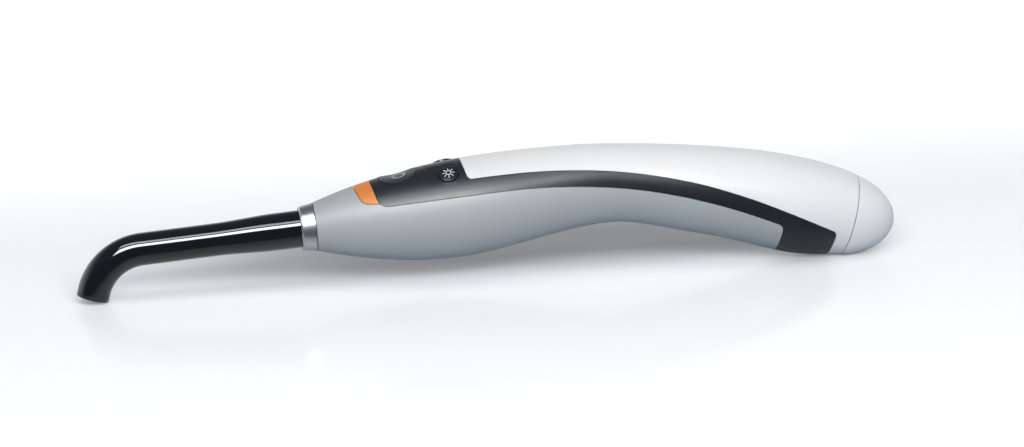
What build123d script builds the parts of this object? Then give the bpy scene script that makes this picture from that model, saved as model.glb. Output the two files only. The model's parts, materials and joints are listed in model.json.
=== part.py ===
from build123d import *
import os
from math import asin, cos, hypot, radians, sin, sqrt, tan

os.makedirs("parts", exist_ok=True)

# A cordless dental curing light, lying on the rim of its probe tip and on the rear of its body.
# X runs from the probe tip to the battery cap, Y goes across and Z is up. The origin is on the
# table, under the middle of the object's length. Lengths are in millimetres, angles in degrees.

# Light guide: a bent glass rod in a black sheath, held in a metal collar
probe_pitch = 3.67
core_radius = 4.1
core_play = 0.03
sheath_base_radius = 5.64
sheath_tip_radius = 4.95
base_run = 7.0
taper_run = 19.0
straight_run = 47.9
bend_radius = 16.65
bend_angle = 70.9
tip_run = 1.93
collar_front_radius = 6.6
collar_rear_radius = 7.25
collar_length = 4.2
collar_chamfer = 0.4
collar_gap = 0.3
sheath_seat = 3.0
spigot_radius = 5.0
spigot_length = 15.2
spigot_play = 0.06
ring_groove_depth = 0.45
ring_width = 1.0
ring_play = 0.03
ring_setback = 5.0

# Casing: each station is a round section of the outside, given by its distance behind the nose,
# the height of its centre above the nose's centre, and its radius
stations = [
    (0.0, 0.0, 7.3),
    (8.3, 0.5, 9.72),
    (18.3, 1.05, 11.98),
    (30.3, 1.75, 13.84),
    (44.3, 3.1, 14.77),
    (58.3, 4.95, 14.23),
    (72.3, 6.75, 13.07),
    (86.3, 7.7, 12.09),
    (98.3, 7.05, 12.01),
    (110.3, 5.2, 12.82),
    (122.3, 3.0, 13.53),
    (135.1, 0.15, 14.28),
    (145.3, -2.6, 14.6),
    (154.3, -4.8, 13.95),
    (163.3, -7.2, 12.4),
]
wall = 1.9
seam = 0.2
seal_gap = 0.05
seal_thickness = 0.5
seal_half_width = 1.2

# Side view of the dark frame: its front edge, its lower edge along the grey shell, its rear edge
# and its upper edge along the white shell, as distances behind and above the nose's centre
frame_front_top = (16.4, 14.9)
frame_lower_edge = [
    (18.95, 7.25),
    (24.7, 7.9),
    (42.6, 9.6),
    (66.9, 10.7),
    (91.3, 8.8),
    (115.3, 3.7),
    (127.3, -0.3),
    (140.9, -5.9),
]
frame_rear_low = (138.6, -20.6)
white_front_top = (43.6, 20.4)
white_lower_edge = [
    (45.6, 13.9),
    (52.3, 14.35),
    (64.3, 14.83),
    (79.5, 14.44),
    (91.6, 13.25),
    (103.65, 11.2),
    (115.6, 8.3),
    (127.5, 4.3),
    (139.5, -0.7),
    (157.0, -9.5),
]
white_rear_low = (154.5, -20.6)
frame_front_corner_radius = 3.0
frame_rear_corner_radius = 2.2
white_front_corner_radius = 1.6
white_rear_corner_radius = 1.3
inlay_edge = [(11.1, 13.4), (13.85, 8.2), (20.3, 8.2)]
inlay_corner_radius = 2.2

# Battery: a round pack that slides into the rear, with the white end cap fixed to it
battery_pitch = 12.5
dome_length = 13.9
dome_lead = 7.3
cap_gap = 0.25
cap_lift = 0.15
parting_lead = 0.8
parting_tilt = 3.2
case_radius = 8.9
case_wall = 0.9
case_length = 58.0
case_in_cap = 6.0
case_front_plate = 1.2
case_rear_plate = 1.0
cap_bore_play = 0.02
cap_hollow_radius = 5.0
cap_hollow_depth = 4.0
cell_length = 50.0
cell_play = 0.05
battery_board_thickness = 1.0
terminal_radius = 1.5
terminal_pitch = 4.4
terminal_thickness = 0.4
key_width = 1.8
key_height = 0.6
key_play = 0.1
key_front = 52.0
key_rear = 5.0
bay_play = 0.1
bay_wall = 0.6
bay_front_wall = 1.6
bay_lip_length = 1.6
bay_lip_play = 0.1
charge_pad_radius = 1.3
charge_pad_depth = 1.2
charge_pad_spread = 3.2
charge_pad_angle = 57.0
charge_pad_along = 8.0

# Keypad on the crown
start_distance = 25.4
start_radius = 6.0
start_travel = 0.7
start_proud = 0.08
dish_half_length = 6.3
dish_depth = 0.9
dish_cross_radius = 23.8
ear_top = 2.35
ear_thickness = 0.5
ear_reach = 6.5
ear_width = 3.0
button_play = 0.12
side_button_distance = 40.1
side_button_angle = 30.0
side_button_radius = 3.15
side_button_rise = 0.8
side_button_rim = 0.2
side_button_travel = 0.5
side_cap_depth = 0.7
side_neck_radius = 2.3
side_ear_reach = 3.1
side_ear_width = 1.8
display_distance = 38.1
display_length = 8.5
display_width = 6.4
display_corner = 1.0
display_play = 0.05
window_thickness = 1.0
module_gap = 0.4
module_margin = 0.4
switch_body = 1.0
switch_side = 3.4
actuator_radius = 0.9
actuator_play = 0.08
flex_angle = 8.5
flex_front = 23.2
flex_length = 23.0
flex_fold_offset = 2.4
flex_side_length = 5.4
flex_thickness = 0.3
carrier_thickness = 0.8
pedestal_width = 4.6
pedestal_front = 31.5
pedestal_length = 13.0
side_stack = 5.05

# Light engine on the probe's axis, as distances behind the nose
socket_front = 0.3
socket_outer_radius = 6.12
nose_bore_play = 0.03
window_setback = 20.8
window_disc_thickness = 1.2
window_disc_radius = 5.6
window_play = 0.02
socket_rear = 23.5
barrel_front = 19.0
barrel_radius = 6.9
barrel_play = 0.02
flange_radius = 10.2
flange_thickness = 1.5
engine_rear = 29.4
reflector_mouth_radius = 5.3
reflector_throat_radius = 2.9
reflector_gap = 0.1
led_board_thickness = 1.2
led_base_side = 4.2
led_base_thickness = 0.5
led_chip_side = 1.2
led_chip_thickness = 0.3
led_pitch = 2.0
heat_sink_radius = 9.2
heat_sink_length = 31.0
engine_flat = 5.0
fin_slot_width = 1.4
fin_slot_pitch = 3.0
fin_slot_depth = 6.5
fin_slot_count = 5
screw_circle_radius = 8.8
screw_radius = 0.8
screw_head_radius = 1.4
screw_head_height = 1.0
screw_length = 5.0
screw_bore_play = 0.05

# Chassis tray and electronics behind the light engine
tray_gap = 0.1
tray_width = 15.0
tray_thickness = 1.6
tray_height = 2.9
board_rise = 2.2
board_setback = 2.0
board_rear_gap = 2.4
board_width = 14.4
board_thickness = 1.2
board_screw_inset = 2.4
board_screw_head = 1.5
post_radius = 1.7
choke_radius = 3.6
choke_height = 4.2
choke_place = 8.5
capacitor_radius = 2.0
capacitor_height = 4.8
capacitor_pitch = 4.8
capacitor_place = 14.6
chip_place = 20.4
chip_across = -3.9
chip_side = 5.0
chip_thickness = 1.0
sounder_place = 21.4
sounder_across = 3.4
sounder_radius = 3.6
sounder_height = 2.6
pin_radius = 0.7
pin_reach = 3.0
pin_play = 0.03
pin_clearance = 1.0


def direction(pitch):
    """Unit vector towards the rear, raised by a pitch."""
    return Vector(cos(radians(pitch)), 0, sin(radians(pitch)))


def upward(pitch):
    """Unit vector square to a rearward direction of the same pitch, pointing up."""
    return Vector(-sin(radians(pitch)), 0, cos(radians(pitch)))


# The bent tip in the probe's own side view: distance behind the nose, height above the axis
collar_rear = -collar_gap
collar_front = collar_rear - collar_length
bend_start = collar_front - straight_run
bend_end = (bend_start - bend_radius * sin(radians(bend_angle)),
            bend_radius * cos(radians(bend_angle)) - bend_radius)
tip_centre = (bend_end[0] - tip_run * cos(radians(bend_angle)),
              bend_end[1] - tip_run * sin(radians(bend_angle)))
tip_pitch = probe_pitch + bend_angle

# The cap's outline is part of an ellipse whose centre lies ahead of the seam
seam_station = stations[-1]
dome_half_length = dome_length + dome_lead
dome_half_width = seam_station[2] / sqrt(1 - (dome_lead / dome_half_length) ** 2)
dome_centre = (seam_station[0] - dome_lead * cos(radians(battery_pitch)),
               seam_station[1] + dome_lead * sin(radians(battery_pitch)))
rear_reach = dome_centre[0] + sqrt((dome_half_length * cos(radians(battery_pitch))) ** 2
                                   + (dome_half_width * sin(radians(battery_pitch))) ** 2)

# The nose is placed so that the tip's rim stands on the table and the length is centred
tip_offset = tip_centre[0] * direction(probe_pitch) + tip_centre[1] * upward(probe_pitch)
tip_rim_low = tip_offset.Z - sheath_tip_radius * cos(radians(tip_pitch))
tip_rim_front = tip_offset.X - sheath_tip_radius * sin(radians(tip_pitch))
nose = Vector(-(tip_rim_front + rear_reach) / 2, 0, -tip_rim_low)
seam_centre = nose + Vector(seam_station[0], 0, seam_station[1])


def probe_point(along, height=0.0):
    """Point in the probe's side view: along its axis behind the nose, and above the axis."""
    return nose + along * direction(probe_pitch) + height * upward(probe_pitch)


def bay_point(along, height=0.0):
    """Point in the battery's side view: along its axis behind the cap's seam, and above it."""
    return seam_centre + along * direction(-battery_pitch) + height * upward(-battery_pitch)


def parting_plane(along):
    """Plane where the end cap parts from the casing, moved along the battery's axis."""
    return Plane(origin=bay_point(along - parting_lead), x_dir=(0, 1, 0),
                 z_dir=direction(-battery_pitch - parting_tilt))


def probe_plane(along):
    """Plane square to the probe's axis, looking to the rear, with its own Y pointing up."""
    return Plane(origin=probe_point(along), x_dir=(0, 1, 0), z_dir=direction(probe_pitch))


def bay_plane(along):
    """Plane square to the battery's axis, looking to the rear, with its own Y pointing up."""
    return Plane(origin=bay_point(along), x_dir=(0, 1, 0), z_dir=direction(-battery_pitch))


def slope_at(index, column):
    """Change of one of a station's values per unit of distance, from its two neighbours."""
    before = stations[max(index - 1, 0)]
    after = stations[min(index + 1, len(stations) - 1)]
    return (after[column] - before[column]) / (after[0] - before[0])


def section_at(distance, column):
    """A station's height or radius at any distance, on a smooth curve through the stations."""
    index = max(i for i, station in enumerate(stations[:-1]) if station[0] <= distance)
    span = stations[index + 1][0] - stations[index][0]
    t = (distance - stations[index][0]) / span
    start, end = stations[index][column], stations[index + 1][column]
    start_slope, end_slope = slope_at(index, column) * span, slope_at(index + 1, column) * span
    return ((2 * t ** 3 - 3 * t ** 2 + 1) * start + (t ** 3 - 2 * t ** 2 + t) * start_slope
            + (3 * t ** 2 - 2 * t ** 3) * end + (t ** 3 - t ** 2) * end_slope)


def crown_point(distance):
    """Point of the body's top line at a distance behind the nose."""
    return nose + Vector(distance, 0, section_at(distance, 1) + section_at(distance, 2))


def crown_direction(distance):
    """Direction of the body's top line towards the rear."""
    return (crown_point(distance + 1) - crown_point(distance - 1)).normalized()


def crown_plane(distance, angle=0.0):
    """Plane on the outside, tilted by an angle to one side of the crown, facing outward."""
    along = crown_direction(distance)
    up = Vector(-along.Z, 0, along.X)
    outward = up * cos(radians(angle)) + Vector(0, sin(radians(angle)), 0)
    station = distance - section_at(distance, 2) * outward.X
    centre = nose + Vector(station, 0, section_at(station, 1))
    return Plane(origin=centre + outward * section_at(station, 2), x_dir=along, z_dir=outward)


def body_loft(inset, first=0):
    """The body's outside, drawn in all round by an inset, from one of its stations rearward."""
    sections = []
    for index in range(first, len(stations)):
        distance, height, radius = stations[index]
        along = Vector(1, 0, slope_at(index, 1))
        if index == 0:
            along = direction(probe_pitch)
        if index == len(stations) - 1:
            along = direction(-battery_pitch)
        plane = Plane(origin=nose + Vector(distance, 0, height), x_dir=(0, 1, 0), z_dir=along)
        halves = [Edge.make_circle(radius - inset, plane, start, start + 180)
                  for start in (-90, 90)]
        sections.append(Face(Wire(halves)))
    with BuildPart(mode=Mode.PRIVATE) as body:
        loft(sections, clean=False)
    return body.part


def side_point(point):
    """A point of the side view in the drawing plane that faces the viewer."""
    return (nose.X + point[0], nose.Z + point[1])


def prism(outline):
    """The solid that a side view outline sweeps right across the body."""
    with BuildPart(mode=Mode.PRIVATE) as block:
        extrude(outline, amount=40, both=True)
    return block.part


def grown(points, grow):
    """The points of a closed outline, run anticlockwise, moved outward."""
    moved = []
    for index, point in enumerate(points):
        before, after = points[index - 1], points[(index + 1) % len(points)]
        normals = []
        for start, end in ((before, point), (point, after)):
            length = hypot(end[0] - start[0], end[1] - start[1])
            normals.append(((end[1] - start[1]) / length, (start[0] - end[0]) / length))
        (a, b), (c, d) = normals
        share = grow / (1 + a * c + b * d)
        moved.append((point[0] + share * (a + c), point[1] + share * (b + d)))
    return moved


def round_corner(outline, point, radius):
    """Round the corner of an outline nearest to a side view point."""
    corner = outline.vertices().sort_by_distance(Vector(*side_point(point)))[0]
    fillet(corner, max(radius, seam))


def frame_region(grow=0.0):
    """Side view of the dark frame, grown or shrunk all round."""
    upper_edge = white_lower_edge[::-1]
    ends = len(frame_lower_edge) + 1, len(frame_lower_edge) + 3
    loop = grown([frame_front_top] + frame_lower_edge + [frame_rear_low, white_rear_low]
                 + upper_edge + [white_front_top], grow)
    lower, upper = loop[1:ends[0]], loop[ends[1]:-1]
    with BuildSketch(Plane.XZ) as outline:
        with BuildLine():
            Line(side_point(loop[0]), side_point(lower[0]))
            Spline(*[side_point(point) for point in lower])
            Polyline(*[side_point(point) for point in loop[ends[0] - 1:ends[1] + 1]])
            Spline(*[side_point(point) for point in upper])
            Polyline(side_point(upper[-1]), side_point(loop[-1]), side_point(loop[0]))
        make_face()
        round_corner(outline, lower[0], frame_front_corner_radius + grow)
        round_corner(outline, lower[-1], frame_rear_corner_radius - grow)
        round_corner(outline, upper[-1], white_front_corner_radius - grow)
        round_corner(outline, upper[0], white_rear_corner_radius + grow)
    return outline.sketch


def white_region(grow=0.0):
    """Side view of the white shell, which wraps round behind the dark frame."""
    beyond = 30.0
    top = (white_front_top[0], white_front_top[1] + beyond)
    far_top = (seam_station[0] + beyond, top[1])
    far_low = (far_top[0], white_rear_low[1])
    loop = grown([white_front_top] + white_lower_edge
                 + [white_rear_low, far_low, far_top, top], grow)
    lower = loop[1:len(white_lower_edge) + 1]
    with BuildSketch(Plane.XZ) as outline:
        with BuildLine():
            Line(side_point(loop[0]), side_point(lower[0]))
            Spline(*[side_point(point) for point in lower])
            Polyline(*[side_point(point) for point in loop[len(white_lower_edge):] + loop[:1]])
        make_face()
        round_corner(outline, lower[0], white_front_corner_radius + grow)
        round_corner(outline, lower[-1], white_rear_corner_radius - grow)
    return outline.sketch


def inlay_region(grow=0.0):
    """Side view of the orange saddle, which runs on under the dark frame's place."""
    far_top = (inlay_edge[-1][0], frame_front_top[1])
    loop = grown(inlay_edge + [far_top], grow)
    with BuildSketch(Plane.XZ) as outline:
        with BuildLine():
            Polyline(*[side_point(point) for point in loop + loop[:1]])
        make_face()
        round_corner(outline, loop[1], inlay_corner_radius + grow)
    return outline.sketch


def round_bar(plane, radius, length, mode=Mode.ADD):
    """A round bar from a plane along its normal, in the part being made."""
    with BuildSketch(plane) as outline:
        Circle(radius)
    extrude(outline.sketch, amount=length, mode=mode, clean=False)


def block(plane, length, width, height, mode=Mode.ADD):
    """A block centred on a plane, standing along its normal, in the part being made."""
    with BuildSketch(plane) as outline:
        Rectangle(length, width)
    extrude(outline.sketch, amount=height, mode=mode)


def cut_at_parting(along, depth):
    """Take away what lies behind the end cap's parting plane, or ahead of it."""
    block(parting_plane(along), 4 * seam_station[2], 4 * seam_station[2], depth,
          mode=Mode.SUBTRACT)


def cut_below(height):
    """Take away what lies under a height above the table."""
    with BuildSketch(Plane.XY.offset(height)) as outline:
        Rectangle(4 * rear_reach, 8 * wall + 4 * seam_station[2])
    extrude(outline.sketch, amount=-4 * wall, mode=Mode.SUBTRACT, clean=False)


outside = body_loft(0.0)
inside = body_loft(wall, first=1)
frame_block = prism(frame_region())
frame_block_wide = prism(frame_region(seam))
white_block = prism(white_region())
white_block_narrow = prism(white_region(-seam))
inlay_block = prism(inlay_region())
inlay_block_wide = prism(inlay_region(seam))

probe_axis = Axis(probe_point(0), direction(probe_pitch))
bay_axis = Axis(bay_point(0), direction(-battery_pitch))
start_plane = crown_plane(start_distance)
display_plane = crown_plane(display_distance)
side_planes = {"program": crown_plane(side_button_distance, -side_button_angle),
               "time": crown_plane(side_button_distance, side_button_angle)}

# Light guide

core_path_corner = probe_point(bend_start - bend_radius * sin(radians(bend_angle / 2)),
                               bend_radius * cos(radians(bend_angle / 2)) - bend_radius)

with BuildLine() as guide_path:
    Line(probe_point(spigot_length), probe_point(bend_start))
    ThreePointArc(probe_point(bend_start), core_path_corner, probe_point(*bend_end))
    Line(probe_point(*bend_end), probe_point(*tip_centre))

with BuildLine() as bend_path:
    ThreePointArc(probe_point(bend_start), core_path_corner, probe_point(*bend_end))
    Line(probe_point(*bend_end), probe_point(*tip_centre))

with BuildPart() as light_guide_core:
    with BuildSketch(Plane(origin=probe_point(spigot_length), x_dir=(0, 1, 0),
                           z_dir=-direction(probe_pitch))):
        Circle(core_radius)
    sweep(path=guide_path.line)
light_guide_core.part.label = "light_guide_core"
export_step(light_guide_core.part, "parts/light_guide_core.step")

with BuildPart() as light_guide_sheath:
    sheath_rear = collar_front + sheath_seat
    taper_rear = collar_front - base_run
    with BuildSketch(Plane(origin=nose, x_dir=direction(probe_pitch), z_dir=(0, -1, 0))):
        with BuildLine():
            Polyline(
                (bend_start, 0),
                (bend_start, sheath_tip_radius),
                (taper_rear - taper_run, sheath_tip_radius),
                (taper_rear, sheath_base_radius),
                (sheath_rear, sheath_base_radius),
                (sheath_rear, 0),
                (bend_start, 0),
            )
        make_face()
    revolve(axis=probe_axis)
    with BuildSketch(Plane(origin=probe_point(bend_start), x_dir=(0, 1, 0),
                           z_dir=-direction(probe_pitch))):
        Circle(sheath_tip_radius)
    sweep(path=bend_path.line)
    with BuildSketch(Plane(origin=probe_point(sheath_rear), x_dir=(0, 1, 0),
                           z_dir=-direction(probe_pitch))):
        Circle(core_radius + core_play)
    with BuildLine() as bore_path:
        Line(probe_point(sheath_rear), probe_point(bend_start))
        ThreePointArc(probe_point(bend_start), core_path_corner, probe_point(*bend_end))
        Line(probe_point(*bend_end), probe_point(*tip_centre))
    sweep(path=bore_path.line, mode=Mode.SUBTRACT)
light_guide_sheath.part.label = "light_guide_sheath"
export_step(light_guide_sheath.part, "parts/light_guide_sheath.step")

groove_radius = spigot_radius - ring_groove_depth

with BuildPart() as probe_collar:
    with BuildSketch(Plane(origin=nose, x_dir=direction(probe_pitch), z_dir=(0, -1, 0))):
        with BuildLine():
            Polyline(
                (collar_front, 0),
                (collar_front, collar_front_radius - collar_chamfer),
                (collar_front + collar_chamfer, collar_front_radius),
                (collar_rear, collar_rear_radius),
                (collar_rear, spigot_radius),
                (ring_setback, spigot_radius),
                (ring_setback, groove_radius),
                (ring_setback + ring_width, groove_radius),
                (ring_setback + ring_width, spigot_radius),
                (spigot_length - collar_chamfer, spigot_radius),
                (spigot_length, spigot_radius - collar_chamfer),
                (spigot_length, 0),
                (collar_front, 0),
            )
        make_face()
    revolve(axis=probe_axis)
    round_bar(probe_plane(collar_front), core_radius + core_play,
              spigot_length - collar_front, mode=Mode.SUBTRACT)
    round_bar(probe_plane(collar_front), sheath_base_radius + core_play,
              sheath_seat, mode=Mode.SUBTRACT)
probe_collar.part.label = "probe_collar"
export_step(probe_collar.part, "parts/probe_collar.step")

with BuildPart() as probe_snap_ring:
    round_bar(probe_plane(ring_setback + ring_play), spigot_radius + spigot_play - ring_play,
              ring_width - 2 * ring_play)
    round_bar(probe_plane(ring_setback + ring_play), groove_radius + ring_play,
              ring_width - 2 * ring_play, mode=Mode.SUBTRACT)
probe_snap_ring.part.label = "probe_snap_ring"
export_step(probe_snap_ring.part, "parts/probe_snap_ring.step")

# Light engine

with BuildPart() as probe_socket:
    round_bar(probe_plane(socket_front), socket_outer_radius, socket_rear - socket_front)
    round_bar(probe_plane(socket_front), spigot_radius + spigot_play,
              socket_rear - socket_front, mode=Mode.SUBTRACT)
    round_bar(probe_plane(window_setback), window_disc_radius + window_play,
              socket_rear - window_setback, mode=Mode.SUBTRACT)
probe_socket.part.label = "probe_socket"
export_step(probe_socket.part, "parts/probe_socket.step")

with BuildPart() as socket_window:
    round_bar(probe_plane(window_setback + window_play), window_disc_radius,
              window_disc_thickness)
socket_window.part.label = "socket_window"
export_step(socket_window.part, "parts/socket_window.step")

barrel_bore = socket_outer_radius + barrel_play


def cut_engine_flat(front, rear):
    """Cut the top of a light engine part flat, to leave room for the keypad."""
    flat = Plane(origin=probe_point((front + rear) / 2, engine_flat), x_dir=direction(probe_pitch),
                 z_dir=upward(probe_pitch))
    block(flat, rear - front + 2 * wall, 4 * flange_radius, flange_radius, mode=Mode.SUBTRACT)


def screw_spots():
    """Places of the engine's screws on their circle, below the flat."""
    return PolarLocations(screw_circle_radius, 3, start_angle=-150, angular_range=120, endpoint=True)


with BuildPart() as lens_barrel:
    round_bar(probe_plane(engine_rear - flange_thickness), flange_radius, flange_thickness)
    cut_engine_flat(engine_rear - flange_thickness, engine_rear)
    round_bar(probe_plane(barrel_front), barrel_radius, engine_rear - barrel_front)
    round_bar(probe_plane(barrel_front), barrel_bore, engine_rear - barrel_front,
              mode=Mode.SUBTRACT)
    with BuildSketch(probe_plane(engine_rear)):
        with screw_spots():
            Circle(screw_radius + screw_bore_play)
    extrude(amount=-flange_thickness, mode=Mode.SUBTRACT)
lens_barrel.part.label = "lens_barrel"
export_step(lens_barrel.part, "parts/lens_barrel.step")

reflector_front = socket_rear + reflector_gap
reflector_rear = engine_rear - led_base_thickness - reflector_gap

with BuildPart() as light_reflector:
    with BuildSketch(Plane(origin=nose, x_dir=direction(probe_pitch), z_dir=(0, -1, 0))):
        with BuildLine():
            Polyline(
                (reflector_front, socket_outer_radius),
                (reflector_front, reflector_mouth_radius),
                (reflector_rear, reflector_throat_radius),
                (reflector_rear, socket_outer_radius),
                (reflector_front, socket_outer_radius),
            )
        make_face()
    revolve(axis=probe_axis)
light_reflector.part.label = "light_reflector"
export_step(light_reflector.part, "parts/light_reflector.step")

with BuildPart() as led_array:
    block(probe_plane(engine_rear - led_base_thickness), led_base_side, led_base_side,
          led_base_thickness)
    for across in (-led_pitch / 2, led_pitch / 2):
        for height in (-led_pitch / 2, led_pitch / 2):
            chip = probe_plane(engine_rear - led_base_thickness)
            chip.origin = chip.origin + height * upward(probe_pitch) + Vector(0, across, 0)
            block(chip, led_chip_side, led_chip_side, -led_chip_thickness)
led_array.part.label = "led_array"
export_step(led_array.part, "parts/led_array.step")

with BuildPart() as led_board:
    round_bar(probe_plane(engine_rear), flange_radius, led_board_thickness)
    cut_engine_flat(engine_rear, engine_rear + led_board_thickness)
    with BuildSketch(probe_plane(engine_rear)):
        with screw_spots():
            Circle(screw_radius + screw_bore_play)
    extrude(amount=led_board_thickness, mode=Mode.SUBTRACT)
led_board.part.label = "led_board"
export_step(led_board.part, "parts/led_board.step")

sink_front = engine_rear + led_board_thickness
sink_rear = sink_front + heat_sink_length

with BuildPart() as heat_sink:
    round_bar(probe_plane(sink_front), flange_radius, flange_thickness + screw_length)
    round_bar(probe_plane(sink_front), heat_sink_radius, heat_sink_length)
    cut_engine_flat(sink_front, sink_rear)
    slot_front = sink_front + flange_thickness + screw_length
    for number in range(fin_slot_count):
        across = (number - (fin_slot_count - 1) / 2) * fin_slot_pitch
        slot = Plane(origin=probe_point((slot_front + sink_rear) / 2, -heat_sink_radius)
                     + Vector(0, across, 0), x_dir=direction(probe_pitch),
                     z_dir=upward(probe_pitch))
        block(slot, sink_rear - slot_front, fin_slot_width, fin_slot_depth, mode=Mode.SUBTRACT)
    with BuildSketch(probe_plane(sink_front)):
        with screw_spots():
            Circle(screw_radius + screw_bore_play)
    extrude(amount=screw_length, mode=Mode.SUBTRACT)
heat_sink.part.label = "heat_sink"
export_step(heat_sink.part, "parts/heat_sink.step")

with BuildPart() as engine_screws:
    head_plane = probe_plane(engine_rear - flange_thickness)
    with BuildSketch(head_plane):
        with screw_spots():
            Circle(screw_radius)
    extrude(amount=flange_thickness + led_board_thickness + screw_length - 4 * screw_bore_play)
    with BuildSketch(head_plane):
        with screw_spots():
            Circle(screw_head_radius)
    extrude(amount=-screw_head_height)
engine_screws.part.label = "engine_screws"
export_step(engine_screws.part, "parts/engine_screws.step")

# Casing

with BuildPart() as lower_shell:
    add(outside, clean=False)
    add(inside, mode=Mode.SUBTRACT, clean=False)
    add(frame_block_wide, mode=Mode.SUBTRACT, clean=False)
    add(white_block, mode=Mode.SUBTRACT, clean=False)
    add(inlay_block_wide, mode=Mode.SUBTRACT, clean=False)
    round_bar(probe_plane(-wall), socket_outer_radius + nose_bore_play,
              stations[1][0] + 3 * wall, mode=Mode.SUBTRACT)
lower_shell.part.label = "lower_shell"
export_step(lower_shell.part, "parts/lower_shell.step")

with BuildPart() as colour_inlay:
    add(outside, clean=False)
    add(inside, mode=Mode.SUBTRACT, clean=False)
    add(inlay_block, mode=Mode.INTERSECT, clean=False)
    add(frame_block_wide, mode=Mode.SUBTRACT, clean=False)
colour_inlay.part.label = "colour_inlay"
export_step(colour_inlay.part, "parts/colour_inlay.step")

with BuildPart() as top_shell:
    add(outside, clean=False)
    add(inside, mode=Mode.SUBTRACT, clean=False)
    add(white_block_narrow, mode=Mode.INTERSECT, clean=False)
    cut_at_parting(0, dome_length)
    cut_below(0)
top_shell.part.label = "top_shell"
export_step(top_shell.part, "parts/top_shell.step")


def thumb_dish(lift):
    """Solid above the start button's dish: hollow along the crown, crowned across it."""
    with BuildPart(mode=Mode.PRIVATE) as dish:
        side = Plane(origin=start_plane.origin, x_dir=start_plane.x_dir, z_dir=(0, -1, 0))
        with BuildSketch(side):
            with BuildLine():
                rim = 4 * dish_depth
                ThreePointArc((-dish_half_length, lift), (0, lift - dish_depth),
                              (dish_half_length, lift))
                Polyline((dish_half_length, lift), (dish_half_length, rim),
                         (-dish_half_length, rim), (-dish_half_length, lift))
            make_face()
        turning_point = start_plane.origin - start_plane.z_dir * (dish_cross_radius + dish_depth)
        revolve(axis=Axis(turning_point, start_plane.x_dir))
    return dish.part


def lowered(plane, depth):
    """The same plane, moved inward."""
    return plane.offset(-depth)


with BuildPart() as keypad_frame:
    add(outside, clean=False)
    add(inside, mode=Mode.SUBTRACT, clean=False)
    add(frame_block, mode=Mode.INTERSECT, clean=False)
    cut_below(0)
    add(thumb_dish(0.0), mode=Mode.SUBTRACT, clean=False)
    round_bar(lowered(start_plane, 3 * wall), start_radius + button_play, 4 * wall,
              mode=Mode.SUBTRACT)
    for plane in side_planes.values():
        round_bar(lowered(plane, side_cap_depth + side_button_travel + button_play),
                  side_button_radius + button_play, 2 * wall, mode=Mode.SUBTRACT)
        round_bar(lowered(plane, 2 * wall), side_neck_radius + button_play, 3 * wall,
                  mode=Mode.SUBTRACT)
    with BuildSketch(lowered(display_plane, 2 * wall)):
        RectangleRounded(display_length + 2 * display_play, display_width + 2 * display_play,
                         display_corner + display_play)
    extrude(amount=3 * wall, mode=Mode.SUBTRACT, clean=False)
keypad_frame.part.label = "keypad_frame"
export_step(keypad_frame.part, "parts/keypad_frame.step")

with BuildPart() as frame_seals:
    add(body_loft(wall + seal_gap, first=1), clean=False)
    add(body_loft(wall + seal_gap + seal_thickness, first=1), mode=Mode.SUBTRACT, clean=False)
    add(prism(frame_region(seal_half_width)), mode=Mode.INTERSECT, clean=False)
    add(prism(frame_region(-seal_half_width)), mode=Mode.SUBTRACT, clean=False)
frame_seals.part.label = "frame_seals"
export_step(frame_seals.part, "parts/frame_seals.step")

# Keypad

start_bottom = ear_top + ear_thickness

with BuildPart() as start_button:
    round_bar(lowered(start_plane, start_bottom), start_radius, start_bottom + wall)
    add(thumb_dish(start_proud), mode=Mode.SUBTRACT)
    block(lowered(start_plane, start_bottom), 2 * ear_reach, ear_width, ear_thickness)
start_button.part.label = "start_button"
export_step(start_button.part, "parts/start_button.step")

side_bottom = ear_top + ear_thickness


def side_button(plane):
    """Domed button on a neck, with two ears that keep it behind the frame."""
    with BuildPart(mode=Mode.PRIVATE) as button:
        with BuildSketch(Plane(origin=plane.origin, x_dir=plane.x_dir, z_dir=-plane.y_dir)):
            with BuildLine():
                shoulder = side_button_rise - side_button_rim
                dome_radius = (side_button_radius ** 2 + shoulder ** 2) / (2 * shoulder)
                Polyline((0, -side_cap_depth), (side_button_radius, -side_cap_depth),
                         (side_button_radius, side_button_rim))
                RadiusArc((side_button_radius, side_button_rim), (0, side_button_rise),
                          -dome_radius)
                Line((0, side_button_rise), (0, -side_cap_depth))
            make_face()
        revolve(axis=Axis(plane.origin, plane.z_dir))
        round_bar(lowered(plane, side_bottom), side_neck_radius, side_bottom - side_cap_depth)
        block(lowered(plane, side_bottom), 2 * side_ear_reach, side_ear_width, ear_thickness)
    return button.part


with BuildPart() as program_button:
    add(side_button(side_planes["program"]))
program_button.part.label = "program_button"
export_step(program_button.part, "parts/program_button.step")

with BuildPart() as time_button:
    add(side_button(side_planes["time"]))
time_button.part.label = "time_button"
export_step(time_button.part, "parts/time_button.step")

# The flexible circuit is folded along two lines, so that it lies square under the side buttons

stack_radius = section_at(side_button_distance, 2) - side_stack
fold_half_width = (stack_radius * sin(radians(side_button_angle))
                   - flex_fold_offset * cos(radians(side_button_angle)))
fold_height = (stack_radius * cos(radians(side_button_angle))
               + flex_fold_offset * sin(radians(side_button_angle)))
flex_datum = nose + Vector(side_button_distance, 0,
                           section_at(side_button_distance, 1) + fold_height)
flex_start = flex_datum + (flex_front - side_button_distance) * direction(flex_angle)


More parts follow.
